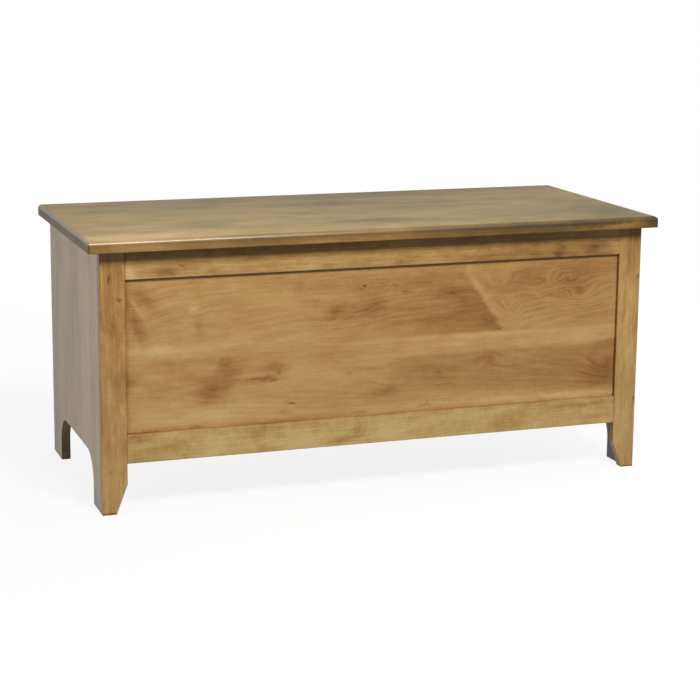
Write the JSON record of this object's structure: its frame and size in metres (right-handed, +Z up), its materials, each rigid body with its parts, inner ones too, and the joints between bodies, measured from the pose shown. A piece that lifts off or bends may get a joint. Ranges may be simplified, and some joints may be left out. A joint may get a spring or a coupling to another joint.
{
  "type": "blanket chest",
  "caption": "Long wooden chest with a recessed front panel, slab ends with arched feet and a hinged overhanging lid held by sliding stays.",
  "frame": {"origin": "on the floor, at the centre of the footprint of the closed chest", "axes": "+X along the chest to its right end, +Y from the front to the hinged back, +Z up"},
  "size_m": [1.219, 0.541, 0.551],
  "materials": {
    "lid_wood": "satin lacquer, light brown stain",
    "frame_wood": "satin lacquer, light brown stain",
    "panel_wood": "satin lacquer, light brown stain",
    "end_wood": "satin lacquer, light brown stain",
    "back_wood": "satin lacquer, light brown stain",
    "plain_panel": "clear satin",
    "inside_wood": "clear satin",
    "biscuit_wood": "bare",
    "hinge_brass": "antique satin",
    "screw_brass": "antique satin",
    "stay_steel": "satin",
    "screw_steel": "satin",
    "bumper": "matte"
  },
  "bodies": {
    "case": {"back_bottom_rail": "back_wood", "back_panel": "plain_panel", "back_stile_left": "back_wood", "back_stile_right": "back_wood", "back_top_rail": "back_wood", "bottom_cleat_back": "inside_wood", "bottom_cleat_front": "inside_wood", "bottom_cleat_left": "inside_wood", "bottom_cleat_right": "inside_wood", "bottom_panel": "plain_panel", "cleat_screws": "screw_steel", "corner_biscuits": "biscuit_wood", "front_bottom_rail": "frame_wood", "front_panel": "panel_wood", "front_stile_left": "frame_wood", "front_stile_right": "frame_wood", "front_top_rail": "frame_wood", "hinge_left_case_leaf": "hinge_brass", "hinge_middle_case_leaf": "hinge_brass", "hinge_pins": "hinge_brass", "hinge_right_case_leaf": "hinge_brass", "hinge_screws_case": "screw_brass", "left_end_board_1": "end_wood", "left_end_board_2": "end_wood", "left_end_board_3": "end_wood", "left_end_board_4": "end_wood", "left_end_board_5": "end_wood", "lid_bumpers": "bumper", "right_end_board_1": "end_wood", "right_end_board_2": "end_wood", "right_end_board_3": "end_wood", "right_end_board_4": "end_wood", "right_end_board_5": "end_wood", "stay_left_stud_plate": "stay_steel", "stay_right_stud_plate": "stay_steel", "stay_screws_case": "screw_steel", "stay_studs": "stay_steel"},
    "lid": {"batten_screws": "screw_steel", "hinge_left_lid_leaf": "hinge_brass", "hinge_middle_lid_leaf": "hinge_brass", "hinge_right_lid_leaf": "hinge_brass", "hinge_screws_lid": "screw_brass", "lid_batten_left": "inside_wood", "lid_batten_right": "inside_wood", "lid_board_1": "lid_wood", "lid_board_2": "lid_wood", "lid_board_3": "lid_wood", "lid_board_4": "lid_wood", "lid_board_5": "lid_wood", "stay_left_lid_bracket": "stay_steel", "stay_right_lid_bracket": "stay_steel", "stay_rivets": "stay_steel", "stay_screws_lid": "screw_steel"},
    "left_stay": {"stay_left_bar": "stay_steel"},
    "right_stay": {"stay_right_bar": "stay_steel"}
  },
  "joints": [
    {"name": "lid_hinge", "type": "hinge", "parent": "case", "child": "lid", "pos_m": [0, 0.267, 0.52625], "axis": [-1, 0, 0], "range_deg": [0, 100]},
    {"name": "left_stay_pivot", "type": "hinge", "parent": "lid", "child": "left_stay", "pos_m": [-0.561, 0.11756, 0.51325], "axis": [-1, 0, 0], "range_deg": [-50, 0]},
    {"name": "right_stay_pivot", "type": "hinge", "parent": "lid", "child": "right_stay", "pos_m": [0.561, 0.11756, 0.51325], "axis": [-1, 0, 0], "range_deg": [-50, 0]}
  ],
  "couplings": [
    {"joint": "left_stay_pivot", "follows": "lid_hinge", "ratio": -0.5},
    {"joint": "right_stay_pivot", "follows": "lid_hinge", "ratio": -0.5}
  ]
}
